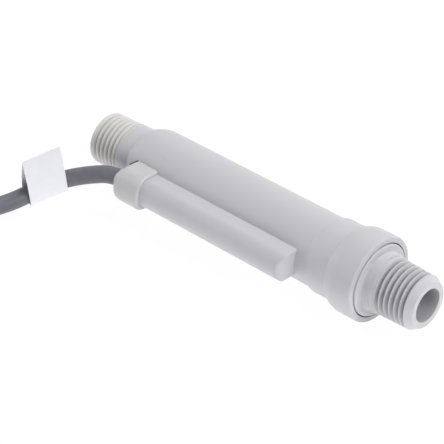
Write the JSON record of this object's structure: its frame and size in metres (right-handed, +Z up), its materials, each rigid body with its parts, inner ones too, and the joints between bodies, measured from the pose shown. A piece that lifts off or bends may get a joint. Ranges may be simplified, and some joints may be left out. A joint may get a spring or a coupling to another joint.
{
  "type": "piston flow sensor",
  "caption": "Inline piston flow sensor with a taper threaded port at each end, a sprung magnetic piston, a reed switch potted in a side rail and a jacketed cable with a blank label.",
  "frame": {"origin": "centre of the inlet port at the inlet face, on the flow axis", "axes": "+X along the flow from inlet to outlet, the switch rail on the -Y side, +Z up"},
  "size_m": [0.1811, 0.0676, 0.0212],
  "materials": {
    "body_plastic": "light grey glass-filled moulding, satin",
    "fitting_plastic": "light grey glass-filled moulding, satin",
    "cap_plastic": "light grey moulding, satin",
    "cable_jacket": "dark grey cable jacket, satin",
    "label_paper": "blank white label stock",
    "seal_rubber": "black nitrile rubber",
    "piston_plastic": "natural engineering plastic",
    "magnet_ferrite": "sintered ferrite",
    "spring_steel": "stainless spring wire",
    "potting_resin": "cast epoxy resin",
    "reed_glass": "clear glass",
    "reed_metal": "nickel iron",
    "sleeve_plastic": "insulating sleeve",
    "solder": "soldered joint",
    "supply_insulation": "red core insulation",
    "signal_insulation": "black core insulation",
    "tinned_wire": "tinned copper strands",
    "tie_plastic": "black tie"
  },
  "bodies": {
    "housing": {"switch_body": "body_plastic", "outlet_fitting": "fitting_plastic", "outlet_o_ring": "seal_rubber", "return_spring": "spring_steel", "cable_cap": "cap_plastic", "potting_compound": "potting_resin", "reed_glass": "reed_glass", "reed_blade_inlet": "reed_metal", "reed_blade_outlet": "reed_metal", "return_lead_sleeve": "sleeve_plastic", "supply_splice": "solder", "signal_splice": "solder", "supply_core": "supply_insulation", "signal_core": "signal_insulation", "cable_lead": "cable_jacket", "cable_coil": "cable_jacket", "coil_tie": "tie_plastic", "cable_tail": "cable_jacket", "cable_label": "label_paper", "tail_supply_core": "supply_insulation", "tail_supply_tip": "tinned_wire", "tail_signal_core": "signal_insulation", "tail_signal_tip": "tinned_wire"},
    "piston_group": {"piston": "piston_plastic", "piston_magnet": "magnet_ferrite", "magnet_retainer": "piston_plastic"}
  },
  "joints": [
    {"name": "piston_slide", "type": "slide", "parent": "housing", "child": "piston_group", "axis": [1, 0, 0], "range_m": [0, 0.018], "stiffness_N_per_m": 20, "springref_m": -0.005, "deforming": ["return_spring"]}
  ]
}
